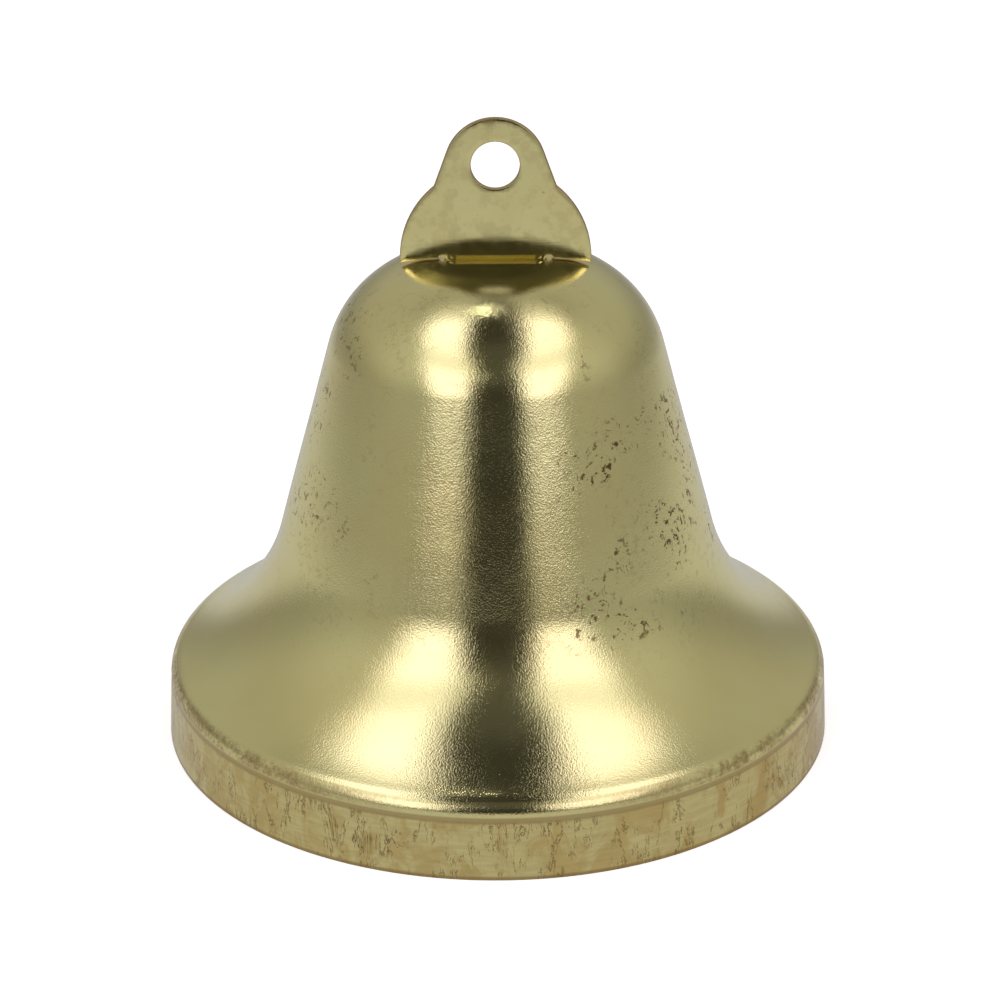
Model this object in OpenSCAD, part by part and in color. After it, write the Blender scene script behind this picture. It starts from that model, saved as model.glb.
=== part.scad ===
// Pressed-brass hanging bell with a sheet hanger bracket, whose tab passes through the crown and
// carries a ball clapper on a wire link. Millimetres. +Z is the bell's axis, pointing up. Z = 0 is the
// plane of the mouth, and the hanger's ear faces -Y. Each revolved outline is drawn as [radius, height].

/* [Bell shell] */
// Outside diameter across the mouth
mouth_d = 75; // [74:0.5:78]
// Thickness of the brass sheet of the shell and of the hanger
sheet = 0.8; // [0.7:0.05:0.9]
// Height of the upright band above the mouth
band_h = 7.2; // [6.6:0.2:8]
// How much smaller the radius is at the top of the band than at the mouth
band_taper = 0.4; // [0.1:0.1:0.8]
// Outside radius of the rounded shoulder over the band
shoulder_r = 2.2; // [1.8:0.1:2.6]
// Radius of the hollow sweep of the flare
flare_r = 23.4; // [22:0.2:25]
// Lean of the waist from upright, in degrees
waist_lean = 15.3; // [14.6:0.1:16]
// Radius of the rounding between the waist and the crown
crown_r = 12.9; // [12.4:0.1:13.4]
// Radius of the flat on top of the crown
seat_r = 5.8; // [5.5:0.1:6.4]
// Height of the crown above the mouth
crown_z = 54.8; // [54.4:0.1:55.4]

/* [Hanger bracket] */
// Height of the top of the ear above the crown
ear_h = 15.55; // [15:0.05:16]
// Radius of the ear's round top
ear_r = 5.45; // [5.2:0.05:5.6]
// Diameter of the hanging hole
hang_hole_d = 5.2; // [4.6:0.1:5.6]
// Height of the hanging hole's centre above the centre of the ear's round top
hole_rise = 0.3; // [0:0.05:0.5]
// Lean of the ear's sides from upright, in degrees
ear_lean = 20; // [18:0.5:21]
// Radius of the two round lobes at the ear's foot
lobe_r = 10.3; // [10:0.1:10.5]
// Gap between the crown and the flat part of the ear's lower edge
lobe_gap = 0.12; // [0.08:0.02:0.2]
// Half of the width of the flat part of the ear's lower edge
edge_w = 6.8; // [6.6:0.1:7]
// How far the ear's outer corners dip below the top of the crown
corner_dip = 0.4; // [0.2:0.05:0.45]
// Half of the width of the tab that passes through the crown
tab_w = 5.35; // [5.1:0.05:5.45]
// Radius of the relief notch on each side of the tab
notch_r = 0.35; // [0.3:0.05:0.4]
// Clearance all round the tab in the crown's slit
slit_play = 0.1; // [0.08:0.02:0.2]
// Distance from the axis to the inner edge of each folded finger
finger_in = 2.4; // [2.2:0.05:2.6]
// Reach of each folded finger from the bell's axis
finger_reach = 4.4; // [3.6:0.1:5]
// Inside radius of the fold of each finger
fold_r = 0.2; // [0.1:0.05:0.3]
// Gap between a folded finger and the crown above it
finger_play = 0.1; // [0.08:0.02:0.2]
// Half of the width of the tongue that carries the clapper
tongue_w = 1.9; // [1.7:0.05:2]
// Diameter of the hole in the tongue
tongue_hole_d = 1.8; // [1.6:0.1:2]

/* [Clapper] */
// Distance from the crown down to the centre of the bow at the top of the link
link_drop = 7.45; // [7:0.05:8]
// Diameter of the link's wire
link_wire_d = 1.2; // [1.1:0.05:1.25]
// Width of the link, measured on the centre of its wire
link_w = 3.8; // [3.7:0.1:4]
// Length of the link's straight sides
link_side = 2.6; // [2.5:0.1:3]
// Gap between one hanging wire and the wire that it hangs on
wire_gap = 0.15; // [0.12:0.01:0.2]
// Diameter of the clapper's rod
rod_d = 1.6; // [1.5:0.1:1.7]
// Diameter of the rod's eye, measured on the centre of its wire
rod_eye_d = 4.2; // [4.1:0.1:4.5]
// Distance from the centre of the rod's eye to the centre of the ball
arm = 30.5; // [29:0.5:32]
// Diameter of the clapper's ball
ball_d = 12; // [11:0.5:12.5]
// Height of the shoulder crimped on the rod over the ball
crimp_h = 1.2; // [1:0.1:1.5]
// Height of the peened head under the ball
peen_h = 0.9; // [0.7:0.1:1.1]

/* [Hidden] */

brass = [0.76, 0.70, 0.42];
dark_brass = [0.66, 0.55, 0.27];
steel = [0.70, 0.71, 0.72];

mouth_r = mouth_d / 2;

// Steps along each arc of the outlines.
ear_steps = 20;
notch_steps = 10;
shoulder_steps = 8;
flare_steps = 16;
crown_steps = 18;

// The shell's outline: a leaning band, a small round shoulder, a hollow flare, a straight waist and a
// round crown, each tangent to the next.
band_lean = atan(band_taper / band_h);
shoulder_c = [mouth_r - band_taper, band_h] - shoulder_r * [cos(band_lean), sin(band_lean)];
crown_c = [seat_r, crown_z - crown_r];
waist_out = [cos(waist_lean), sin(waist_lean)];
waist_down = [sin(waist_lean), -cos(waist_lean)];

// The flare's centre lies flare_r outside the waist's line and touches the shoulder's circle.
flare_line = waist_out * (crown_c * waist_out + crown_r + flare_r);
to_line = flare_line - shoulder_c;
along = to_line * waist_down;
reach = sqrt(pow(along, 2) - to_line * to_line + pow(flare_r + shoulder_r, 2));
flare_c = flare_line - waist_down * (along + reach);
flare_foot = atan2(flare_c[1] - shoulder_c[1], flare_c[0] - shoulder_c[0]);

function arc(centre, radius, from, to, steps) = [
    for (i = [0 : steps])
        let (a = from + (to - from) * i / steps)
        centre + radius * [cos(a), sin(a)]
];

// One face of the shell from the mouth to the axis, depth below the outside.
function shell_face(depth) = concat(
    [[mouth_r - depth / cos(band_lean), 0]],
    arc(shoulder_c, shoulder_r - depth, band_lean, flare_foot, shoulder_steps),
    arc(flare_c, flare_r + depth, flare_foot + 180, waist_lean + 180, flare_steps),
    arc(crown_c, crown_r - depth, waist_lean, 90, crown_steps),
    [[0, crown_z - depth]]
);

function reversed(list) = [for (i = [len(list) - 1 : -1 : 0]) list[i]];

// The left half of an outline, given a right half whose two ends are on the centre line.
function mirrored(list) = [for (i = [len(list) - 2 : -1 : 1]) [-list[i][0], list[i][1]]];

// The ear stands on the bell's axis. Its lower edge runs level over the middle of the crown and then
// slopes down to the corners of the lobes.
ear_z = crown_z + ear_h - ear_r;
hang_hole_z = ear_z + hole_rise;
lobe_c = crown_z + 0.1;
edge_z = crown_z + lobe_gap;
lobe_low = -asin((lobe_c - crown_z + corner_dip) / lobe_r);

// The ear's leaning side leaves the round top at side_top and runs down until it meets the lobe.
side_top = [0, ear_z] + ear_r * [cos(ear_lean), sin(ear_lean)];
side_down = [sin(ear_lean), -cos(ear_lean)];
to_lobe = side_top - [0, lobe_c];
abreast = to_lobe * side_down;
side_run = -abreast - sqrt(pow(abreast, 2) - to_lobe * to_lobe + pow(lobe_r, 2));
side_foot = side_top + side_run * side_down;
lobe_high = atan2(side_foot[1] - lobe_c, side_foot[0]);

// The fingers fold at fold_z, under the crown, about lines fold_y from the axis.
fold_y = sheet / 2 + fold_r;
fold_z = crown_z - sheet - finger_play + fold_r;
fold_out = fold_r + sheet;
crotch_r = (finger_in - tongue_w) / 2;

// Wire radii, and heights of the hanging chain's bows and pivots.
link_wire_r = link_wire_d / 2;
rod_r = rod_d / 2;
link_top_z = crown_z - link_drop;
link_foot_z = link_top_z - link_side;
rod_eye_z = link_foot_z - link_w / 2 + link_wire_r + wire_gap + rod_r - rod_eye_d / 2;
ball_z = rod_eye_z - arm;
ball_r = ball_d / 2;

// The link's wire passes through the middle of the tongue's hole, over the tongue's round end.
tongue_hole_z = link_top_z + link_w / 2;
tongue_c = tongue_hole_z - tongue_hole_d / 2;

// The ball has a small flat at each end of its bore, where the crimp and the peened head bear.
crimp_r = rod_r + 0.7;
ball_flat = sqrt(pow(ball_r, 2) - pow(crimp_r, 2));

$fn = 64;

// A closed ring of round wire, standing up with its hole along Y.
module wire_ring(ring_d, wire_d) {
    rotate([90, 0, 0])
        rotate_extrude()
            translate([ring_d / 2, 0])
                circle(d = wire_d);
}

// Pressed and drawn shell, one wall thick, with a slit in the crown for the hanger's tab.
module bell_shell() {
    color(brass)
        difference() {
            rotate_extrude($fn = 180)
                polygon(concat(shell_face(0), reversed(shell_face(sheet))));
            translate([0, 0, crown_z - sheet - 1])
                linear_extrude(sheet + 2)
                    square([2 * (tab_w + slit_play), sheet + 2 * slit_play], center = true);
        }
}

// The hanger's blank with its fingers cut off at the fold, drawn with height along the second axis:
// the tongue, the tab, a notch beside the tab, the lobe and the ear.
module hanger_outline() {
    right = concat(
        arc([0, tongue_c], tongue_w, -90, 0, ear_steps),
        arc([tongue_w + crotch_r, fold_z], crotch_r, 180, 0, notch_steps),
        [[tab_w, fold_z]],
        arc([tab_w + notch_r, edge_z], notch_r, 180, 0, notch_steps),
        [[edge_w, edge_z]],
        arc([0, lobe_c], lobe_r, lobe_low, lobe_high, ear_steps),
        arc([0, ear_z], ear_r, ear_lean, 90, ear_steps)
    );
    difference() {
        polygon(concat(right, mirrored(right)));
        translate([0, hang_hole_z])
            circle(d = hang_hole_d);
        translate([0, tongue_hole_z])
            circle(d = tongue_hole_d);
    }
}

// Right-hand finger, folded back flat under the crown.
module finger() {
    width = tab_w - finger_in;
    translate([finger_in, fold_y, fold_z])
        rotate([0, 90, 0])
            intersection() {
                difference() {
                    cylinder(r = fold_out, h = width);
                    translate([0, 0, -1])
                        cylinder(r = fold_r, h = width + 2);
                }
                translate([0, -fold_out, -1])
                    cube([fold_out, fold_out, width + 2]);
            }
    translate([finger_in, fold_y, fold_z - fold_out])
        cube([width, finger_reach - fold_y, sheet]);
}

// One blank of sheet brass: the ear stands on the crown, its tab goes down through the slit, two
// fingers fold out to lock it, and the tongue between them hangs down for the clapper.
module hanger_bracket() {
    color(brass)
        union() {
            translate([0, sheet / 2, 0])
                rotate([90, 0, 0])
                    linear_extrude(sheet)
                        hanger_outline();
            finger();
            mirror([1, 0, 0])
                finger();
        }
}

// Half a ring of the link's wire, with its hole along X and its arch on the side given.
module link_bow(arch) {
    rotate([90, 0, 90])
        rotate([0, 0, arch])
            rotate_extrude(angle = 180)
                translate([link_w / 2, 0])
                    circle(d = link_wire_d);
}

// Long closed link that hangs in the tongue's hole and carries the clapper.
module clapper_link() {
    color(steel)
        union() {
            translate([0, 0, link_top_z])
                link_bow(0);
            translate([0, 0, link_foot_z])
                link_bow(180);
            for (side = [-1, 1])
                translate([0, side * link_w / 2, link_foot_z])
                    cylinder(d = link_wire_d, h = link_side);
        }
}

// Clapper rod: an eye at the top, a crimped shoulder over the ball and a peened head under it.
module clapper_rod() {
    rod_foot = ball_z - ball_flat - 0.2;
    rod_head = rod_eye_z - rod_eye_d / 2;
    color(steel)
        union() {
            translate([0, 0, rod_eye_z])
                wire_ring(rod_eye_d, rod_d);
            translate([0, 0, rod_foot])
                cylinder(r = rod_r, h = rod_head - rod_foot);
            translate([0, 0, ball_z + ball_flat])
                cylinder(r1 = crimp_r, r2 = rod_r, h = crimp_h, $fn = 48);
            translate([0, 0, ball_z - ball_flat - peen_h])
                cylinder(r1 = rod_r, r2 = crimp_r, h = peen_h, $fn = 48);
        }
}

// Bored ball, flat at both ends of its bore.
module clapper_ball() {
    color(dark_brass)
        translate([0, 0, ball_z])
            difference() {
                sphere(r = ball_r, $fn = 96);
                translate([0, 0, -ball_r - 1])
                    cylinder(r = rod_r, h = 2 * ball_r + 2);
                translate([-ball_r, -ball_r, ball_flat])
                    cube([2 * ball_r, 2 * ball_r, ball_r]);
                translate([-ball_r, -ball_r, -ball_flat - ball_r])
                    cube([2 * ball_r, 2 * ball_r, ball_r]);
            }
}

bell_shell();
hanger_bracket();
clapper_link();
clapper_rod();
clapper_ball();
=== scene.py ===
"""Looks of a pressed-brass hanging bell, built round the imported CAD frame. Lengths are in metres."""
import math

import bmesh
import bpy
from mathutils import Matrix, Vector, geometry, noise


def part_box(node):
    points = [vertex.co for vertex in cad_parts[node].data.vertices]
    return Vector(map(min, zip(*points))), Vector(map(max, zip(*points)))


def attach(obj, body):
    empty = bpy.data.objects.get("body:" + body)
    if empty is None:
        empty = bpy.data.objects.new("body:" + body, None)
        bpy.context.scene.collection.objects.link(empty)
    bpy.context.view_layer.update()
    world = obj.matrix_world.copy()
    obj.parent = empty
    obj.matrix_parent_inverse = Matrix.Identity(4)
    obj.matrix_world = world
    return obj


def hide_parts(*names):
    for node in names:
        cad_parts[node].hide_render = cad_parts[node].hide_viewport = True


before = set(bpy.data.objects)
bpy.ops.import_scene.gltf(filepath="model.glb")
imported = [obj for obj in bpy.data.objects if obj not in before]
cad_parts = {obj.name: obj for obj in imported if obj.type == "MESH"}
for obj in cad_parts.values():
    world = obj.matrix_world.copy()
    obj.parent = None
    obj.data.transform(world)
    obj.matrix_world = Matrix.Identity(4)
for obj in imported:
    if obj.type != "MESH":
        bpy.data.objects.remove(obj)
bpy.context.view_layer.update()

MM = 0.001
TAU = 2 * math.pi

# ---------------------------------------------------------------------------------------------
# Sizes. The overall ones are read from the frame; the rest are the design's own dimensions.
# ---------------------------------------------------------------------------------------------
shell_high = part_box("bell_shell")[1]
bracket_low, bracket_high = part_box("hanger_bracket")
link_low, link_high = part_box("clapper_link")
rod_low, rod_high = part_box("clapper_rod")
ball_low, ball_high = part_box("clapper_ball")

MOUTH_R = shell_high.x
CROWN_Z = shell_high.z
SHEET = 0.8 * MM
BAND_H = 7.2 * MM
BAND_TAPER = 0.4 * MM
SHOULDER_R = 2.2 * MM
FLARE_R = 23.4 * MM
WAIST_LEAN = math.radians(15.3)
CROWN_R = 12.9 * MM
SEAT_R = 5.8 * MM
SLIT_HALF = Vector((5.45 * MM, 0.5 * MM))

# The shallow hollow pressed into the crown in front of the hanger's tab.
STRAIN_HALF = 5.0 * MM
STRAIN_FRONT = 1.85 * MM
STRAIN_DEPTH = 0.30 * MM

# The hanger's sheet stands on the plane y = 0.
EAR_TOP = bracket_high.z
EAR_R = 5.45 * MM
EAR_LEAN = math.radians(20)
HANG_HOLE_R = 2.6 * MM
HOLE_RISE = 0.3 * MM
LOBE_R = bracket_high.x
LOBE_RISE = 0.1 * MM
LOBE_GAP = 0.12 * MM
CORNER_DIP = 0.4 * MM
EDGE_W = 6.8 * MM
TAB_W = 5.35 * MM
NOTCH_R = 0.35 * MM
FINGER_IN = 2.4 * MM
FINGER_REACH = bracket_high.y
FOLD_R = 0.2 * MM
FOLD_Z = CROWN_Z - SHEET - 0.1 * MM + FOLD_R
# Radius of the fold at the sheet's middle, which is also how far behind the sheet its centre is.
FOLD_MID = FOLD_R + SHEET / 2
FOLD_LENGTH = FOLD_MID * math.pi / 2
TONGUE_W = 1.9 * MM
TONGUE_C = bracket_low.z + TONGUE_W
TONGUE_HOLE_R = 0.9 * MM
ROD_R = 0.8 * MM


# ---------------------------------------------------------------------------------------------
# Outlines
# ---------------------------------------------------------------------------------------------
def polar(radius, angle):
    """The point at a radius and an angle from the origin."""
    return Vector((radius * math.cos(angle), radius * math.sin(angle)))


def arc(centre, radius, start, end, steps):
    """Points along an arc, both ends included."""
    turns = (start + (end - start) * i / steps for i in range(steps + 1))
    return [centre + polar(radius, a) for a in turns]


def straight(start, end, steps):
    """Points after start, up to and with end."""
    return [start.lerp(end, (i + 1) / steps) for i in range(steps)]


def shell_face(depth, detail):
    """The shell's outline from the mouth to the flat of the crown, depth below the outside."""
    lean = math.atan(BAND_TAPER / BAND_H)
    shoulder = Vector((MOUTH_R - BAND_TAPER, BAND_H)) - polar(SHOULDER_R, lean)
    crown = Vector((SEAT_R, CROWN_Z - CROWN_R))
    out = polar(1, WAIST_LEAN)
    down = Vector((out.y, -out.x))
    line = out * (crown.dot(out) + CROWN_R + FLARE_R)
    gap = line - shoulder
    along = gap.dot(down)
    reach = math.sqrt(along**2 - gap.dot(gap) + (FLARE_R + SHOULDER_R) ** 2)
    flare = line - down * (along + reach)
    foot = math.atan2(flare.y - shoulder.y, flare.x - shoulder.x)
    lip = Vector((MOUTH_R - depth / math.cos(lean), 0))
    turn = arc(shoulder, SHOULDER_R - depth, lean, foot, 4 * detail)
    sweep = arc(flare, FLARE_R + depth, foot + math.pi, WAIST_LEAN + math.pi, 5 * detail)
    dome = arc(crown, CROWN_R - depth, WAIST_LEAN, math.pi / 2, 5 * detail)
    return (
        [lip]
        + straight(lip, turn[0], detail)
        + turn[1:]
        + sweep[1:]
        + straight(sweep[-1], dome[0], 2 * detail)
        + dome[1:]
    )


def rounded(loop, corners, radius, steps=3):
    """A closed outline whose named corners are rounded with a small curve."""
    made = []
    count = len(loop)
    for i, point in enumerate(loop):
        if i not in corners:
            made.append(point)
            continue
        before = (loop[i - 1] - point).normalized() * radius
        after = (loop[(i + 1) % count] - point).normalized() * radius
        for k in range(steps + 1):
            t = k / steps
            made.append(point + before * (1 - t) ** 2 + after * t**2)
    return made


# ---------------------------------------------------------------------------------------------
# Meshes
# ---------------------------------------------------------------------------------------------
def finish_mesh(name, bm, materials, smooth_angle=40):
    """Turns a bmesh into an object with clean normals and smooth shading between sharp edges."""
    bmesh.ops.recalc_face_normals(bm, faces=bm.faces)
    mesh = bpy.data.meshes.new(name)
    for face in bm.faces:
        face.smooth = True
    limit = math.radians(smooth_angle)
    for edge in bm.edges:
        if len(edge.link_faces) == 2 and edge.calc_face_angle(0) > limit:
            edge.smooth = False
    bm.to_mesh(mesh)
    bm.free()
    obj = bpy.data.objects.new(name, mesh)
    bpy.context.scene.collection.objects.link(obj)
    for material in materials:
        mesh.materials.append(material)
    return obj


def ring_surface(bm, rings, closed):
    """Skins a list of vertex rings with quads; closed joins the last ring to the first."""
    count = len(rings[0])
    pairs = list(zip(rings, rings[1:]))
    if closed:
        pairs.append((rings[-1], rings[0]))
    for low, high in pairs:
        for i in range(count):
            j = (i + 1) % count
            bm.faces.new((low[i], low[j], high[j], high[i]))


def turned(bm, rows, segments, closed):
    """A body round Z from (radius, height) rows. An open one is capped at both ends."""
    angles = [TAU * i / segments for i in range(segments)]
    rings = []
    for r, height in rows:
        rings.append([bm.verts.new((r * math.cos(a), r * math.sin(a), height)) for a in angles])
    ring_surface(bm, rings, closed)
    if not closed:
        for ring in (rings[0], rings[-1]):
            middle = sum((v.co for v in ring), Vector()) / segments
            tip = bm.verts.new(middle)
            for i in range(segments):
                bm.faces.new((ring[i], ring[(i + 1) % segments], tip))


# An open wire's end: how wide its two last rings are, and how far out they stand, by its radius.
WIRE_END = ((0.88, 0.21), (0.55, 0.35))


def swept(bm, path, radius, sides, closed=False):
    """A round wire along a path. An open wire gets softly domed ends."""
    count = len(path)
    tangents = []
    for i, point in enumerate(path):
        if closed:
            step = path[(i + 1) % count] - path[i - 1]
        else:
            step = path[min(i + 1, count - 1)] - path[max(i - 1, 0)]
        tangents.append(step.normalized())
    normal = tangents[0].orthogonal().normalized()
    normals = []
    for i, tangent in enumerate(tangents):
        if i:
            normal = tangents[i - 1].rotation_difference(tangent) @ normal
        normal = (normal - tangent * normal.dot(tangent)).normalized()
        normals.append(normal.copy())

    def ring(i, scale, shift):
        side = tangents[i].cross(normals[i])
        centre = path[i] + tangents[i] * shift
        made = []
        for k in range(sides):
            spoke = normals[i] * math.cos(TAU * k / sides) + side * math.sin(TAU * k / sides)
            made.append(bm.verts.new(centre + spoke * radius * scale))
        return made

    rings = [ring(i, 1.0, 0.0) for i in range(count)]
    if not closed:
        start = [ring(0, scale, -out * radius) for scale, out in WIRE_END]
        end = [ring(count - 1, scale, out * radius) for scale, out in WIRE_END]
        rings = start[::-1] + rings + end
    ring_surface(bm, rings, closed)
    if not closed:
        bm.faces.new(rings[0])
        bm.faces.new(rings[-1])


def inset(loop, amount):
    """A closed outline moved to its left side, where the metal is, by amount."""
    made = []
    for i, point in enumerate(loop):
        a = (point - loop[i - 1]).normalized()
        b = (loop[(i + 1) % len(loop)] - point).normalized()
        normal = Vector((-a.y, a.x))
        side = (normal + Vector((-b.y, b.x))).normalized()
        made.append(point + side * (amount / max(0.5, side.dot(normal))))
    return made


def is_inside(point, loops):
    """Whether a point is inside an odd number of the closed outlines."""
    crossings = 0
    for loop in loops:
        for i, b in enumerate(loop):
            a = loop[i - 1]
            if (a.y > point.y) != (b.y > point.y):
                crossings += point.x < a.x + (point.y - a.y) * (b.x - a.x) / (b.y - a.y)
    return crossings % 2 == 1


def fill_plate(bm, rims, inner_points, place):
    """Fills the plate between closed rims, each a (points, verts) pair, with a triangle net."""
    loops = [points for points, verts in rims]
    points, edges, owners = [], [], []
    for rim, verts in rims:
        start, count = len(points), len(rim)
        points += rim
        owners += verts
        edges += [(start + i, start + (i + 1) % count) for i in range(count)]
    for p in inner_points:
        if is_inside(p, loops):
            points.append(p)
            owners.append(None)
    made = geometry.delaunay_2d_cdt(points, edges, [], 0, 1e-7)
    net, source_of = made[0], made[3]
    verts = []
    for k, p in enumerate(net):
        owner = owners[source_of[k][0]] if source_of[k] else None
        verts.append(owner or bm.verts.new(place(p)))
    for tri in made[2]:
        if is_inside(sum((net[i] for i in tri), Vector((0, 0))) / 3, loops):
            bm.faces.new([verts[i] for i in tri])


def grid_points(low, high, step, rows, rims, clear):
    """Points of an even net over a box, with extra rows, clear of the rims' own points."""
    rows = rows + [low.y + step * (r + 0.5) for r in range(int((high.y - low.y) / step))]
    columns = [low.x + step * (c + 0.5) for c in range(int((high.x - low.x) / step))]
    taken = {}
    for rim in rims:
        for p in rim:
            taken.setdefault((int(p.x // clear), int(p.y // clear)), []).append(p)

    def is_free(p):
        i, j = int(p.x // clear), int(p.y // clear)
        near = (q for a in (-1, 0, 1) for b in (-1, 0, 1) for q in taken.get((i + a, j + b), ()))
        return all((p - q).length_squared > clear**2 for q in near)

    return [p for v in rows for u in columns if is_free(p := Vector((u, v)))]


# ---------------------------------------------------------------------------------------------
# Materials
# ---------------------------------------------------------------------------------------------
class Nodes:
    """Short names for building a node tree."""

    def __init__(self, name, world_tree=None):
        if world_tree:
            self.tree = world_tree
            kinds = ("ShaderNodeBackground", "ShaderNodeOutputWorld", "Generated")
        else:
            self.material = bpy.data.materials.new(name)
            self.material.use_nodes = True
            self.tree = self.material.node_tree
            kinds = ("ShaderNodeBsdfPrincipled", "ShaderNodeOutputMaterial", "Object")
        self.tree.nodes.clear()
        self.shader = self.tree.nodes.new(kinds[0])
        output = self.tree.nodes.new(kinds[1])
        self.tree.links.new(self.shader.outputs[0], output.inputs["Surface"])
        self.place = self.tree.nodes.new("ShaderNodeTexCoord").outputs[kinds[2]]

    def plug(self, socket, value):
        """Links a node's output to a socket, or sets the socket's own value."""
        if isinstance(value, bpy.types.NodeSocket):
            self.tree.links.new(value, socket)
        else:
            socket.default_value = value

    def math(self, operation, a, b=0.0, c=0.0, clamp=False):
        node = self.tree.nodes.new("ShaderNodeMath")
        node.operation = operation
        node.use_clamp = clamp
        for socket, value in zip(node.inputs, (a, b, c)):
            self.plug(socket, value)
        return node.outputs[0]

    def times(self, a, b):
        return self.math("MULTIPLY", a, b)

    def blend(self, factor, a, b):
        """A number that goes from a to b as factor goes from 0 to 1."""
        node = self.tree.nodes.new("ShaderNodeMix")
        for socket, value in zip(node.inputs[0:1] + node.inputs[2:4], (factor, a, b)):
            self.plug(socket, value)
        return node.outputs[0]

    def ramp(self, value, low, high, out_low=0.0, out_high=1.0):
        """A smooth step of value from low to high."""
        node = self.tree.nodes.new("ShaderNodeMapRange")
        node.interpolation_type = "SMOOTHSTEP"
        for name, number in (
            ("Value", value),
            ("From Min", low),
            ("From Max", high),
            ("To Min", out_low),
            ("To Max", out_high),
        ):
            self.plug(node.inputs[name], number)
        return node.outputs[0]

    def zone(self, value, low, high, soft):
        """One between low and high, fading to nothing over soft outside them."""
        return self.times(self.ramp(value, low - soft, low), self.ramp(value, high, high + soft, 1.0, 0.0))

    def stretch(self, scale):
        """The place on the piece, scaled along each axis: a small scale draws a pattern out."""
        node = self.tree.nodes.new("ShaderNodeMapping")
        self.plug(node.inputs["Vector"], self.place)
        node.inputs["Scale"].default_value = scale
        return node.outputs[0]

    def noise(self, size, detail=3.0, rough=0.55, warp=0.0, place=None):
        """Noise whose lumps are about size metres across."""
        node = self.tree.nodes.new("ShaderNodeTexNoise")
        self.plug(node.inputs["Vector"], place or self.place)
        node.inputs["Scale"].default_value = 1 / size
        node.inputs["Detail"].default_value = detail
        node.inputs["Roughness"].default_value = rough
        node.inputs["Distortion"].default_value = warp
        return node.outputs["Fac"]

    def mix(self, factor, a, b):
        """A colour that goes from a to b as factor goes from 0 to 1."""
        node = self.tree.nodes.new("ShaderNodeMix")
        node.data_type = "RGBA"
        self.plug(node.inputs["Factor"], factor)
        for socket, value in zip((node.inputs[6], node.inputs[7]), (a, b)):
            self.plug(socket, value if isinstance(value, bpy.types.NodeSocket) else (*value, 1))
        return node.outputs[2]

    def vein(self, value, width):
        """Thin lines where the value passes its middle."""
        off_middle = self.math("ABSOLUTE", self.math("SUBTRACT", value, 0.5))
        return self.ramp(off_middle, 0.0, width, 1.0, 0.0)

    def bump(self, height, distance, under=None):
        """A normal that raises height, 0 to 1, by distance, on top of the relief under it."""
        node = self.tree.nodes.new("ShaderNodeBump")
        node.inputs["Strength"].default_value = 1.0
        node.inputs["Distance"].default_value = distance
        self.plug(node.inputs["Height"], height)
        if under is not None:
            self.plug(node.inputs["Normal"], under)
        return node.outputs[0]

    def split(self):
        """The place's x, y and z."""
        node = self.tree.nodes.new("ShaderNodeSeparateXYZ")
        self.plug(node.inputs[0], self.place)
        return node.outputs

    def join(self, x, y, z):
        node = self.tree.nodes.new("ShaderNodeCombineXYZ")
        for socket, value in zip(node.inputs, (x, y, z)):
            self.plug(socket, value)
        return node.outputs[0]

    def set(self, **values):
        """Sets the shader's sockets by name and returns the material."""
        for name, value in values.items():
            self.plug(self.shader.inputs[name.replace("_", " ")], value)
        return self.material


# Colours of the metals, of what lies on them, and of a painted reflection.
BRASS = (0.83, 0.755, 0.36)
BRASS_WARM = (0.80, 0.66, 0.28)
# A painted reflection: the deep gold of light bounced between the hanger's tab and the crown.
BOUNCE_REFLECTION_GOLD = (1.0, 0.80, 0.17)
TARNISH = (0.30, 0.17, 0.06)
KHAKI = (0.60, 0.54, 0.25)
OCHRE = (0.54, 0.36, 0.11)
SPOT = (0.11, 0.065, 0.022)
CUT_EDGE = (0.45, 0.27, 0.10)
TURNED_BRASS = (0.78, 0.62, 0.28)
TURNED_DULL = (0.66, 0.50, 0.21)
ZINC = (0.62, 0.64, 0.66)
ZINC_DULL = (0.46, 0.47, 0.48)


def brown_spots(n, azimuth, z):
    """Dark crescents and spots: a cluster on the right of the waist, and a few all round."""
    spots = n.ramp(n.noise(1.7 * MM, 6, 0.68, 1.8), 0.545, 0.575)
    crescents = n.times(spots, n.ramp(n.noise(0.8 * MM, 3, 0.6, 0.5), 0.44, 0.56))
    cluster = n.times(n.zone(azimuth, 0.42, 1.35, 0.18), n.zone(z, 21 * MM, 40 * MM, 3 * MM))
    cluster = n.times(cluster, n.ramp(n.noise(9 * MM, 2, 0.5), 0.44, 0.56))
    stray = n.ramp(n.noise(12 * MM, 2, 0.5, 0.3), 0.58, 0.68)
    stray = n.times(stray, n.ramp(z, 18 * MM, 26 * MM, 0.0, 0.5))
    return n.times(crescents, n.math("MAXIMUM", cluster, stray))


def shoulder_stain(n, azimuth, z):
    """A speckled golden-brown stain that follows the shoulder, weakest at the front."""
    speckle = n.ramp(n.noise(0.55 * MM, 4, 0.7, 0.4), 0.44, 0.60)
    blotch = n.ramp(n.noise(4.5 * MM, 4, 0.6, 0.8), 0.38, 0.54)
    aside = n.ramp(n.math("ABSOLUTE", azimuth), 0.12, 0.70, 0.15, 1.0)
    shoulder = n.times(n.zone(z, BAND_H + 0.2 * MM, BAND_H + 1.2 * MM, 0.5 * MM), aside)
    return n.times(shoulder, n.math("ADD", n.times(speckle, 0.45), n.times(blotch, 0.55)))


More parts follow.
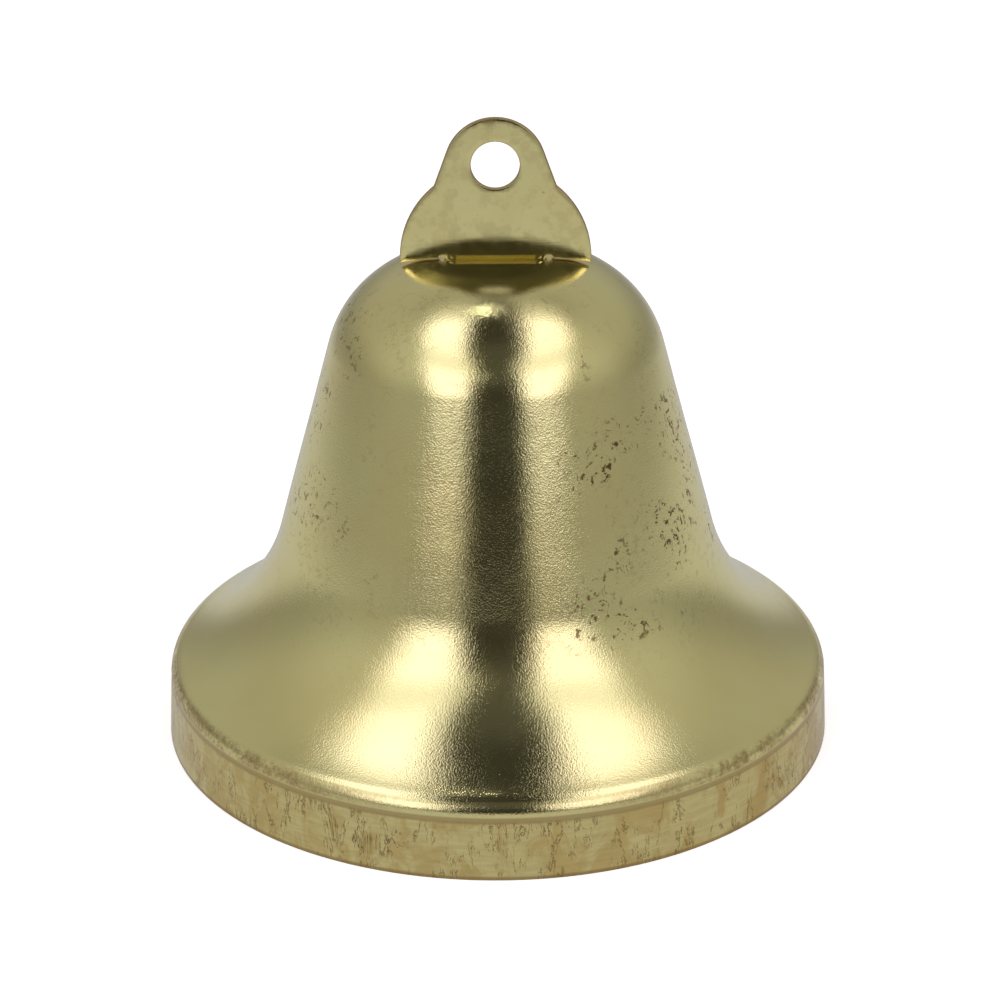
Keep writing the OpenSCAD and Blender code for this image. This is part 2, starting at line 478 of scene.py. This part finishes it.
def fine_stains(n, z):
    """Freckles on the waist, hairs over waist and crown, a line over the band and a dark lip."""
    freckle = n.ramp(n.noise(0.8 * MM, 5, 0.7), 0.50, 0.66)
    freckle = n.times(freckle, n.ramp(n.noise(7 * MM, 3), 0.48, 0.62))
    freckle = n.times(n.times(freckle, 0.30), n.ramp(z, 12 * MM, 24 * MM))
    hairs = n.vein(n.noise(9 * MM, 6, 0.68, 0.4), 0.006)
    hairs = n.times(hairs, n.ramp(n.noise(6 * MM, 2, 0.5), 0.50, 0.62))
    hairs = n.times(hairs, n.ramp(z, 16 * MM, 24 * MM))
    line = n.zone(z, BAND_H - 0.60 * MM, BAND_H - 0.20 * MM, 0.30 * MM)
    lip = n.ramp(z, 0.25 * MM, 0.6 * MM, 0.8, 0.0)
    line = n.math("MAXIMUM", n.times(line, 0.72), lip)
    return n.math("MAXIMUM", n.math("MAXIMUM", freckle, line), n.times(hairs, 0.40))


def dull_band(n, color, band, azimuth, z):
    """The band's colour, with level smears and ochre blotches, and where its upright cracks are."""
    wrapped = n.times(azimuth, MOUTH_R)
    smear_place = n.join(n.times(wrapped, 0.12), 0.0, z)
    smears = n.ramp(n.noise(0.5 * MM, 3, 0.6, 0.3, smear_place), 0.35, 0.70)
    color = n.mix(n.times(band, n.times(smears, 0.6)), color, KHAKI)
    blotch_place = n.join(wrapped, 0.0, n.times(z, 0.7))
    blotches = n.ramp(n.noise(3.8 * MM, 5, 0.62, 0.9, blotch_place), 0.40, 0.64)
    browned = n.ramp(blotches, 0.0, 1.0, 0.35, 0.85)
    browned = n.times(browned, n.ramp(azimuth, 0.2, 1.1, 0.75, 1.0))
    color = n.mix(n.times(band, browned), color, OCHRE)
    crack_place = n.join(wrapped, 0.0, n.times(z, 0.28))
    cracks = n.vein(n.noise(2.2 * MM, 6, 0.72, 0.4, crack_place), 0.017)
    cracked = n.times(n.times(cracks, n.ramp(n.noise(4 * MM, 3), 0.42, 0.56)), band)
    return color, cracked


def strained_strip_and_reflection(n, x, front, z):
    """Where the crown before the tab is strained and rough, and gold as a painted reflection of bounced
    light.
    """
    across_x = n.math("ABSOLUTE", x)
    across_x = n.ramp(across_x, STRAIN_HALF - 0.9 * MM, STRAIN_HALF - 0.4 * MM, 1.0, 0.0)
    across_y = n.zone(front, SLIT_HALF.y, STRAIN_FRONT - 0.1 * MM, 0.1 * MM)
    on_top = n.ramp(z, CROWN_Z - 0.6 * MM, CROWN_Z - 0.5 * MM)
    return n.times(n.times(across_x, across_y), on_top)


def satin_relief(n):
    """The skin's fine grain over a slow ripple, with a few long scratches."""
    scratches = n.noise(0.35 * MM, 1, 0.4, 0.0, n.stretch((1.0, 1.0, 0.05)))
    normal = n.bump(n.noise(2.4 * MM, 2, 0.5), 0.010 * MM)
    normal = n.bump(n.noise(0.20 * MM, 2, 0.65), 0.019 * MM, under=normal)
    return n.bump(n.ramp(scratches, 0.72, 0.78), 0.002 * MM, under=normal)


def shell_brass():
    """Pressed brass with a satin grain, warm clouds, brown tarnish, streaks and scratches."""
    n = Nodes("shell_brass")
    x, y, z = n.split()
    front = n.math("MULTIPLY", y, -1.0)
    azimuth = n.math("ARCTAN2", x, front)
    band = n.ramp(z, BAND_H - 0.9 * MM, BAND_H - 0.3 * MM, 1.0, 0.0)

    clouds = n.ramp(n.noise(16 * MM, 3, 0.5), 0.42, 0.68)
    color = n.mix(n.times(clouds, 0.40), BRASS, BRASS_WARM)
    color, cracked = dull_band(n, color, band, azimuth, z)

    spotty = brown_spots(n, azimuth, z)
    stained = shoulder_stain(n, azimuth, z)
    tarnish = n.math("MAXIMUM", n.times(spotty, 1.25), n.times(stained, 0.90))
    tarnish = n.math("MAXIMUM", tarnish, fine_stains(n, z))
    tarnish = n.math("MAXIMUM", tarnish, n.times(cracked, 0.85), clamp=True)
    color = n.mix(n.times(tarnish, 0.82), color, TARNISH)
    darkest = n.math("MAXIMUM", spotty, n.times(cracked, 0.7))
    color = n.mix(n.times(darkest, 0.85), color, SPOT)

    # A painted reflection: the strained strip before the tab is gold with light bounced between tab and
    # crown, and rougher.
    strain_and_reflection = strained_strip_and_reflection(n, x, front, z)
    threads = n.noise(0.12 * MM, 2, 0.6, 0.0, n.stretch((1.0, 0.08, 0.08)))
    color = n.mix(n.times(strain_and_reflection, n.ramp(threads, 0.3, 0.7, 0.75, 1.0)), color, BOUNCE_REFLECTION_GOLD)

    rough = n.ramp(n.noise(5 * MM, 3, 0.6), 0.3, 0.7, 0.09, 0.135)
    worn = n.math("MAXIMUM", n.math("MAXIMUM", tarnish, n.times(band, 0.5)), strain_and_reflection)
    rough = n.math("ADD", rough, n.times(worn, 0.25))
    return n.set(Base_Color=color, Metallic=1.0, Roughness=rough, Normal=satin_relief(n))


def hanger_brass():
    """Rolled sheet with a faint grain across it, a few stains and browned cut edges."""
    n = Nodes("hanger_brass")
    attribute = n.tree.nodes.new("ShaderNodeAttribute")
    attribute.attribute_name = "cut_edge"
    cut = attribute.outputs["Fac"]
    x, y, z = n.split()
    lines = n.noise(0.25 * MM, 2, 0.6, 0.0, n.stretch((0.06, 1.0, 1.0)))
    clouds = n.ramp(n.noise(5 * MM, 3, 0.5), 0.4, 0.7)
    color = n.mix(n.times(clouds, 0.3), BRASS, BRASS_WARM)
    # Heat and handling leave the top of the ear browner; the stains elsewhere are fainter.
    top = n.ramp(z, EAR_TOP - 1.6 * MM, EAR_TOP - 0.2 * MM)
    stain = n.times(n.ramp(n.noise(1.6 * MM, 4, 0.6), 0.46, 0.62), n.math("MAXIMUM", top, 0.22))
    pits = n.times(n.ramp(n.noise(0.5 * MM, 2, 0.5), 0.70, 0.76), 0.7)
    color = n.mix(n.times(n.math("MAXIMUM", stain, pits), 0.55), color, TARNISH)
    color = n.mix(n.times(cut, 0.65), color, CUT_EDGE)
    normal = n.bump(lines, 0.003 * MM)
    normal = n.bump(n.noise(4 * MM, 2, 0.5), 0.010 * MM, under=normal)
    rough = n.ramp(n.noise(3 * MM, 3, 0.6), 0.3, 0.7, 0.07, 0.13)
    rough = n.math("ADD", rough, n.times(n.math("MAXIMUM", cut, stain), 0.2))
    return n.set(Base_Color=color, Metallic=1.0, Roughness=rough, Normal=normal)


def turned_brass():
    """Machined brass with fine tool rings round Z and a little dullness."""
    n = Nodes("ball_brass")
    clouds = n.ramp(n.noise(2.5 * MM, 3, 0.55), 0.4, 0.7)
    color = n.mix(n.times(clouds, 0.5), TURNED_BRASS, TURNED_DULL)
    x, y, z = n.split()
    rings = n.noise(0.10 * MM, 2, 0.6, 0.0, n.join(0.0, 0.0, z))
    normal = n.bump(rings, 0.003 * MM)
    normal = n.bump(n.noise(0.2 * MM, 2, 0.5), 0.002 * MM, under=normal)
    rough = n.ramp(n.noise(1.2 * MM, 3, 0.6), 0.3, 0.7, 0.16, 0.28)
    return n.set(Base_Color=color, Metallic=1.0, Roughness=rough, Normal=normal)


def drawn_wire():
    """Zinc-plated drawn wire with soft grey spangle."""
    n = Nodes("clapper_steel")
    spangle = n.ramp(n.noise(0.7 * MM, 3, 0.6, 0.8), 0.35, 0.7)
    color = n.mix(spangle, ZINC, ZINC_DULL)
    rough = n.ramp(n.noise(0.5 * MM, 3, 0.6), 0.3, 0.7, 0.28, 0.42)
    normal = n.bump(n.noise(0.15 * MM, 3, 0.6), 0.004 * MM)
    return n.set(Base_Color=color, Metallic=1.0, Roughness=rough, Normal=normal)


# ---------------------------------------------------------------------------------------------
# Pieces
# ---------------------------------------------------------------------------------------------
# Fine rings rolled in where the flare meets the shoulder: height, width and rise of each.
SHOULDER_RINGS = [
    (BAND_H - 0.55 * MM, 0.22 * MM, -0.030 * MM),
    (BAND_H + 1.15 * MM, 0.06 * MM, 0.007 * MM),
    (BAND_H + 1.45 * MM, 0.07 * MM, 0.008 * MM),
    (BAND_H + 1.70 * MM, 0.07 * MM, -0.008 * MM),
    (BAND_H + 1.95 * MM, 0.08 * MM, 0.008 * MM),
]


# How finely the shell's outline and its turn are divided.
OUTER_DETAIL = 14
INNER_DETAIL = 8
SHELL_SEGMENTS = 288


def ringed(face):
    """The outer face with the shoulder's fine rings raised on it."""
    made = []
    for i, point in enumerate(face):
        ahead = face[min(i + 1, len(face) - 1)] - face[max(i - 1, 0)]
        out = Vector((ahead.y, -ahead.x)).normalized()
        rise = sum(h * math.exp(-(((point.y - at) / width) ** 2)) for at, width, h in SHOULDER_RINGS)
        made.append(point + out * rise)
    return made


def strained(p):
    """Height of the crown's top face: flat, but hollow in front of the tab."""
    fringe = 0.1 * MM
    middle = (STRAIN_FRONT + SLIT_HALF.y) / 2
    across = (-p.y - middle) / ((STRAIN_FRONT - SLIT_HALF.y) / 2 + fringe)
    ends = min(1.0, max(0.0, (STRAIN_HALF + fringe - abs(p.x)) / (0.6 * MM)))
    hollow = math.cos(math.pi / 2 * across) ** 2 if abs(across) < 1 else 0.0
    return CROWN_Z - STRAIN_DEPTH * hollow * math.sin(math.pi / 2 * ends)


def slit_outline(grow):
    """The slit in the crown, clockwise, grown by a margin."""
    corner = 0.2 * MM
    half = SLIT_HALF + Vector((grow - corner, grow - corner))
    made = []
    for k, (sx, sy) in enumerate(((1, 1), (1, -1), (-1, -1), (-1, 1))):
        centre = Vector((sx * half.x, sy * half.y))
        start = math.pi / 2 * (1 - k)
        turn = arc(centre, corner + grow, start, start - math.pi / 2, 6)
        if made:
            made += straight(made[-1], turn[0], 4 if k % 2 else 36)[:-1]
        made += turn
    made += straight(made[-1], made[0], 36)[:-1]
    return made


def make_shell(material):
    """The pressed shell: one revolved skin and a flat crown with the hanger's slit through it."""
    outer = ringed(shell_face(0, OUTER_DETAIL))
    inner = shell_face(SHEET, INNER_DETAIL)
    lip = rounded([inner[1], inner[0], outer[0], outer[1]], (1, 2), 0.12 * MM)
    profile = inner[::-1][:-2] + lip + outer[2:]
    bm = bmesh.new()

    def place(point, angle):
        radius, height = point
        spot = Vector((radius * math.sin(angle), -radius * math.cos(angle), height))
        wave = noise.noise(spot * 90) * 0.035 * MM + noise.noise(spot * 260) * 0.008 * MM
        fade = min(1.0, height / (4 * MM)) * min(1.0, max(0.0, (CROWN_Z - height) / (2 * MM)))
        spot.x *= 1 + wave * fade / radius
        spot.y *= 1 + wave * fade / radius
        return spot

    angles = [TAU * i / SHELL_SEGMENTS for i in range(SHELL_SEGMENTS)]
    rings = [[bm.verts.new(place(point, a)) for a in angles] for point in profile]
    ring_surface(bm, rings, False)

    low_z = CROWN_Z - SHEET
    walls = [(0.10 * MM, None), (0.03 * MM, CROWN_Z - 0.08 * MM), (0.0, CROWN_Z - 0.2 * MM)]
    walls += [(0.0, low_z + 0.08 * MM), (0.05 * MM, low_z)]
    slit = []
    for grow, height in walls:
        ring = slit_outline(grow)
        heights = [min(strained(p), height) if height else strained(p) for p in ring]
        if height and height > low_z + 0.1 * MM:
            heights = [min(h, strained(p) - (CROWN_Z - height)) for p, h in zip(ring, heights)]
        slit.append([bm.verts.new((p.x, p.y, h)) for p, h in zip(ring, heights)])
    ring_surface(bm, slit, False)

    corner = Vector((SEAT_R, SEAT_R))
    for seat, hole, grow, surface in (
        (rings[-1], slit[0], walls[0][0], strained),
        (rings[0], slit[-1], walls[-1][0], lambda p: low_z),
    ):
        seat_loop = [v.co.xy for v in seat]
        hole_loop = slit_outline(grow)
        inner_points = grid_points(-corner, corner, 0.25 * MM, [], [seat_loop, hole_loop], 0.14 * MM)
        rims = [(seat_loop, seat), (hole_loop, hole)]
        fill_plate(bm, rims, inner_points, lambda p: (p.x, p.y, surface(p)))
    return finish_mesh("bell_shell_skin", bm, [material])


def hanger_outline(steps):
    """The hanger's flat blank, counter-clockwise from the foot of its tongue, as (x, height)."""
    ear_c = Vector((0, EAR_TOP - EAR_R))
    lobe_c = Vector((0, CROWN_Z + LOBE_RISE))
    edge_z = CROWN_Z + LOBE_GAP
    side_top = ear_c + polar(EAR_R, EAR_LEAN)
    down = Vector((math.sin(EAR_LEAN), -math.cos(EAR_LEAN)))
    gap = side_top - lobe_c
    along = gap.dot(down)
    side_foot = side_top + down * (-along - math.sqrt(along**2 - gap.dot(gap) + LOBE_R**2))
    low = -math.asin((LOBE_RISE + CORNER_DIP) / LOBE_R)
    high = math.atan2(side_foot.y - lobe_c.y, side_foot.x - lobe_c.x)
    crotch_r = (FINGER_IN - TONGUE_W) / 2
    tip = FOLD_Z - FOLD_LENGTH - (FINGER_REACH - FOLD_MID)
    tip_r = 0.45 * MM

    right = arc(Vector((0, TONGUE_C)), TONGUE_W, -math.pi / 2, 0, steps)
    right += straight(right[-1], Vector((TONGUE_W, FOLD_Z)), 12)
    right += arc(Vector((TONGUE_W + crotch_r, FOLD_Z)), crotch_r, math.pi, 0, 8)[1:]
    right += straight(right[-1], Vector((FINGER_IN, tip + tip_r)), 16)
    right += arc(Vector((FINGER_IN + tip_r, tip + tip_r)), tip_r, math.pi, 1.5 * math.pi, 6)[1:]
    right += arc(Vector((TAB_W - tip_r, tip + tip_r)), tip_r, -math.pi / 2, 0, 6)
    right += straight(right[-1], Vector((TAB_W, edge_z)), 20)
    right += arc(Vector((TAB_W + NOTCH_R, edge_z)), NOTCH_R, math.pi, 0, 10)[1:]
    right += straight(right[-1], Vector((EDGE_W, edge_z)), 3)
    right += straight(right[-1], lobe_c + polar(LOBE_R, low), 10)
    right += arc(lobe_c, LOBE_R, low, high, steps)[1:]
    right += straight(right[-1], side_top, 8)
    right += arc(ear_c, EAR_R, EAR_LEAN, math.pi / 2, steps)[1:]
    return right + [Vector((-p.x, p.y)) for p in right[-2:0:-1]]


def folded(point, off):
    """Place of a point of the blank, off from the sheet's middle towards its front face."""
    x, height = point
    run = FOLD_Z - height
    if run <= 0 or abs(x) < (FINGER_IN + TONGUE_W) / 2:
        return Vector((x, -off, height))
    radius = FOLD_MID + off
    if run < FOLD_LENGTH:
        a = run / FOLD_MID
        return Vector((x, FOLD_MID - radius * math.cos(a), FOLD_Z - radius * math.sin(a)))
    return Vector((x, FOLD_MID + run - FOLD_LENGTH, FOLD_Z - radius))


def make_hanger(material):
    """Sheet blank with sheared edges: ear, tab, two fingers folded under the crown, and tongue."""
    outline = hanger_outline(22)
    hang_hole = arc(Vector((0, EAR_TOP - EAR_R + HOLE_RISE)), HANG_HOLE_R, TAU, 0, 72)[:-1]
    tongue_hole = arc(Vector((0, TONGUE_C + TONGUE_HOLE_R)), TONGUE_HOLE_R, TAU, 0, 40)[:-1]
    half = SHEET / 2
    # Front edges are rolled over by the punch; back edges keep a smaller break.
    roll, snap = 0.14 * MM, 0.05 * MM
    steps = [(roll, half), (roll * 0.4, half - roll * 0.22), (0.0, half - roll)]
    steps += [(0.0, -half + snap), (snap, -half)]
    bm = bmesh.new()
    cut = bm.verts.layers.float.new("cut_edge")
    faces = {half: [], -half: []}
    for loop in (outline, hang_hole, tongue_hole):
        rings = []
        for k, (amount, off) in enumerate(steps):
            moved = inset(loop, amount)
            ring = [bm.verts.new(folded(p, off)) for p in moved]
            for vert in ring:
                vert[cut] = 0.0 if k == 0 else 1.0
            rings.append(ring)
            if abs(off) == half:
                faces[off].append((moved, ring))
        ring_surface(bm, rings, False)
    bend_rows = [FOLD_Z - FOLD_LENGTH * r / 12 for r in range(13)]
    low = Vector((-LOBE_R, min(p.y for p in outline)))
    high = Vector((LOBE_R, EAR_TOP))
    for off, rims in faces.items():
        loops = [rim for rim, verts in rims]
        inner_points = grid_points(low, high, 0.5 * MM, bend_rows, loops, 0.24 * MM)
        fill_plate(bm, rims, inner_points, lambda p: folded(p, off))
    return finish_mesh("hanger_sheet", bm, [material])


def make_link(material):
    """Long wire link with a small butt weld on one side."""
    wire = (link_high.x - link_low.x) / 2
    half = (link_high.y - link_low.y) / 2 - wire
    top_z = link_high.z - wire - half
    low_z = link_low.z + wire + half
    path = []
    for i in range(33):
        a = math.pi * i / 32
        path.append(Vector((0, half * math.cos(a), top_z + half * math.sin(a))))
    path += [Vector((0, -half, top_z + (low_z - top_z) * i / 10)) for i in range(1, 10)]
    for i in range(33):
        a = math.pi + math.pi * i / 32
        path.append(Vector((0, half * math.cos(a), low_z + half * math.sin(a))))
    path += [Vector((0, half, low_z + (top_z - low_z) * i / 10)) for i in range(1, 10)]
    bm = bmesh.new()
    swept(bm, path, wire, 20, closed=True)
    weld = Vector((0, -half, (top_z + low_z) / 2))
    for vert in bm.verts:
        near = abs(vert.co.z - weld.z) / (0.35 * MM)
        if vert.co.y < 0 and near < 2:
            centre = Vector((0, -half, vert.co.z))
            inward = 1 - 0.10 * math.exp(-(near**2))
            vert.co = centre + (vert.co - centre) * inward
    return finish_mesh("clapper_link_wire", bm, [material])


def make_rod(material):
    """Clapper rod bent from one wire: an eye closed on the rod, a crimp and a peened end."""
    wire = ROD_R
    ring = (rod_high.x - rod_low.x) / 2 - wire
    ring_z = rod_high.z - wire - ring
    fillet = 1.1 * MM
    drop = math.sqrt(ring**2 + 2 * ring * fillet)
    start = math.atan2(-drop, fillet)
    path = straight(Vector((0, rod_low.z + 0.9 * MM)), Vector((0, ring_z - drop)), 40)
    path += arc(Vector((fillet, ring_z - drop)), fillet, math.pi, math.pi + start, 8)[1:]
    path += arc(Vector((0, ring_z)), ring, start, start + math.radians(318), 84)[1:]
    bm = bmesh.new()
    swept(bm, [Vector((p.x, 0, p.y)) for p in path], wire, 24)
    flat = ball_high.z
    foot = ball_low.z
    # Millimetres: the crimp's radii and heights over the ball, and the peened end's under it.
    crimp = [(0.8, 1.25), (1.05, 1.05), (1.42, 0.45), (1.5, 0.12), (1.38, 0.0)]
    turned(bm, [(r * MM, flat + h * MM) for r, h in crimp[::-1]], 48, closed=False)
    peen = [(1.2, 0.0), (1.5, -0.14), (1.46, -0.5), (1.15, -0.76), (0.6, -0.89)]
    turned(bm, [(r * MM, foot + h * MM) for r, h in peen], 48, closed=False)
    return finish_mesh("clapper_rod_wire", bm, [material])


def make_ball(material):
    """Turned ball, flat and countersunk round its bore."""
    centre = (ball_low.z + ball_high.z) / 2
    radius = (ball_high.x - ball_low.x) / 2
    flat = ball_high.z - centre
    bore = ROD_R
    sink = 0.12 * MM
    low = -math.asin(flat / radius)
    loop = [Vector((bore, ball_low.z + sink)), Vector((bore + sink, ball_low.z))]
    loop += arc(Vector((0, centre)), radius, low, -low, 56)
    loop += [Vector((bore + sink, ball_high.z)), Vector((bore, ball_high.z - sink))]
    bm = bmesh.new()
    turned(bm, loop, 96, closed=True)
    return finish_mesh("clapper_ball_turned", bm, [material])


# ---------------------------------------------------------------------------------------------
# Build
# ---------------------------------------------------------------------------------------------
steel = drawn_wire()

BUILT = [
    (make_shell(shell_brass()), "bell", "shell_brass", "bell_shell"),
    (make_hanger(hanger_brass()), "bell", "hanger_brass", "hanger_bracket"),
    (make_link(steel), "link", "clapper_steel", "clapper_link"),
    (make_rod(steel), "clapper", "clapper_steel", "clapper_rod"),
    (make_ball(turned_brass()), "clapper", "ball_brass", "clapper_ball"),
]
for piece, body, slot_name, node in BUILT:
    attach(piece, body)
    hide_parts(node)

# ---------------------------------------------------------------------------------------------
# Stage: pale floor, white surround, two tall soft boxes that reach overhead, and a dark gap
# ---------------------------------------------------------------------------------------------
scene = bpy.context.scene
scene.view_settings.view_transform = "Standard"

# The floor and the room are white to the camera. In reflections they are as grey as given here.
FLOOR_SEEN = (0.92, 0.92, 0.92)
FLOOR_GREY = (0.05, 0.05, 0.05)
FLOOR_GLOW = 0.6
FLOOR_NEAR = 0.50
FLOOR_FAR = 0.27
BOX_LEVEL = 1.7
WALL_LEVEL = 0.50
GAP_LOW = 0.037
GAP_HIGH = 0.078
SEAM_HEIGHTS = (0.39, 0.83)
BOX_TINT = (1.0, 0.955, 1.15)
ROOM_TINT = (1.0, 1.0, 0.96)


def make_floor():
    """A white sheet under the bell that reflects as grey and is clear from below."""
    bm = bmesh.new()
    bmesh.ops.create_circle(bm, cap_ends=True, segments=96, radius=2.5)
    floor = finish_mesh("floor", bm, [])
    n = Nodes("floor_paper")
    tree = n.tree
    seen = tree.nodes.new("ShaderNodeLightPath").outputs["Is Camera Ray"]
    x, y, z = n.split()
    radius = n.math("SQRT", n.math("ADD", n.times(x, x), n.times(y, y)))
    level = n.ramp(radius, 0.12, 0.45, FLOOR_NEAR, FLOOR_FAR)
    n.set(Base_Color=n.mix(seen, FLOOR_GREY, FLOOR_SEEN), Roughness=0.9)
    n.plug(n.shader.inputs["Emission Color"], (1, 1, 1, 1))
    n.plug(n.shader.inputs["Emission Strength"], n.blend(seen, level, FLOOR_GLOW))
    see_through = tree.nodes.new("ShaderNodeBsdfTransparent")
    mix = tree.nodes.new("ShaderNodeMixShader")
    back = tree.nodes.new("ShaderNodeNewGeometry").outputs["Backfacing"]
    tree.links.new(back, mix.inputs[0])
    tree.links.new(n.shader.outputs[0], mix.inputs[1])
    tree.links.new(see_through.outputs[0], mix.inputs[2])
    output = next(k for k in tree.nodes if k.type == "OUTPUT_MATERIAL")
    tree.links.new(mix.outputs[0], output.inputs["Surface"])
    floor.data.materials.append(n.material)


def make_world():
    """The room by direction: soft boxes left and right of a dark gap, grey walls, white to the eye."""
    world = bpy.data.worlds.new("studio")
    scene.world = world
    world.use_nodes = True
    n = Nodes("studio", world.node_tree)
    x, y, z = n.split()
    out = n.math("ABSOLUTE", x)
    front = n.times(y, -1.0)

    # Edges of a box, as how far out it reaches at each height and depth.
    low_inner = n.times(front, 0.344)
    high_inner = n.math("ADD", n.times(front, 0.276), n.times(z, 0.2105))
    inner = n.blend(n.ramp(z, 0.66, 0.80), low_inner, high_inner)
    outer = n.math("ADD", n.times(front, 0.774), n.times(z, 0.736))
    from_inner = n.math("SUBTRACT", out, inner)
    from_outer = n.math("SUBTRACT", outer, out)

    lit = n.times(n.ramp(from_inner, -0.01, 0.03), n.ramp(from_outer, -0.03, 0.10))
    lit = n.times(lit, n.ramp(z, 0.14, 0.18))
    # The boxes dim towards the rear, and their middle panels are weaker between two seams.
    lit = n.times(lit, n.times(n.ramp(y, 0.0, 0.17, 1.0, 0.42), n.ramp(y, 0.15, 0.50, 1.0, 0.25)))
    middle = n.times(n.ramp(z, 0.54, 0.60), n.ramp(z, 0.72, 0.78, 1.0, 0.0))
    lit = n.times(lit, n.blend(middle, 1.0, 0.55))
    for seam_z in SEAM_HEIGHTS:
        off_seam = n.math("ABSOLUTE", n.math("SUBTRACT", z, seam_z))
        lit = n.times(lit, n.ramp(off_seam, 0.008, 0.024, 0.75, 1.0))

    gap = n.times(n.ramp(from_inner, -0.06, 0.0, 1.0, 0.0), n.ramp(y, 0.15, 0.45, 1.0, 0.0))
    rear = n.ramp(y, -0.30, 0.40, 1.0, 0.80)
    wall = n.times(n.times(rear, n.ramp(z, 0.75, 0.97, 1.0, 0.35)), WALL_LEVEL)
    wall = n.times(wall, n.ramp(z, 0.0, 0.45, 0.72, 1.06))
    low_front = n.times(n.ramp(front, 0.60, 0.80), n.ramp(z, 0.06, 0.13, 1.0, 0.0))
    wall = n.times(wall, n.blend(low_front, 1.0, 0.68))
    half_way_up = n.times(n.ramp(z, 0.35, 0.55), n.ramp(z, 0.85, 0.95, 1.0, 0.0))
    room = n.blend(gap, wall, n.blend(half_way_up, GAP_LOW, GAP_HIGH))
    level = n.blend(lit, room, BOX_LEVEL)
    seen = n.tree.nodes.new("ShaderNodeLightPath").outputs["Is Camera Ray"]
    tint = n.mix(lit, ROOM_TINT, BOX_TINT)
    n.plug(n.shader.inputs["Color"], n.mix(seen, tint, (1, 1, 1)))
    n.plug(n.shader.inputs["Strength"], n.blend(seen, level, 1.0))


def small_lamp(name, place, facing, size, power):
    """A small oblong lamp, unseen itself, that shines from a place at a point on the axis."""
    data = bpy.data.lights.new(name, "AREA")
    data.shape = "RECTANGLE"
    data.size, data.size_y = size
    data.energy = power
    lamp = bpy.data.objects.new(name, data)
    scene.collection.objects.link(lamp)
    aim = (Vector(place) - Vector(facing)).to_track_quat("Z", "Y")
    lamp.matrix_world = Matrix.Translation(place) @ aim.to_matrix().to_4x4()
    lamp.visible_camera = False


make_floor()
make_world()
small_lamp("top_lamp", (-0.055, 0.13, 0.75), (0, 0, CROWN_Z), (0.085, 0.009), 0.08)
small_lamp("front_lamp", (-0.12, -0.58, 0.42), (0, 0, 0.9 * CROWN_Z), (0.030, 0.010), 0.010)

# The camera stands in front, a little above, as far off as gives the bell its perspective.
CAMERA_PLACE = (0.00035, -0.285, 0.15185)
CAMERA_PITCH = math.radians(23.76)
CAMERA_ROLL = math.radians(-0.26)
CAMERA_SENSOR_MM = 36
CAMERA_LENS_MM = 100.48
CAMERA_NEAR, CAMERA_FAR = 0.01, 20
camera_data = bpy.data.cameras.new("camera")
camera_data.sensor_width = CAMERA_SENSOR_MM
camera_data.lens = CAMERA_LENS_MM
camera_data.clip_start = CAMERA_NEAR
camera_data.clip_end = CAMERA_FAR
camera = bpy.data.objects.new("camera", camera_data)
scene.collection.objects.link(camera)
tilt = Matrix.Rotation(math.pi / 2 - CAMERA_PITCH, 4, "X") @ Matrix.Rotation(CAMERA_ROLL, 4, "Z")
camera.matrix_world = Matrix.Translation(CAMERA_PLACE) @ tilt
scene.camera = camera
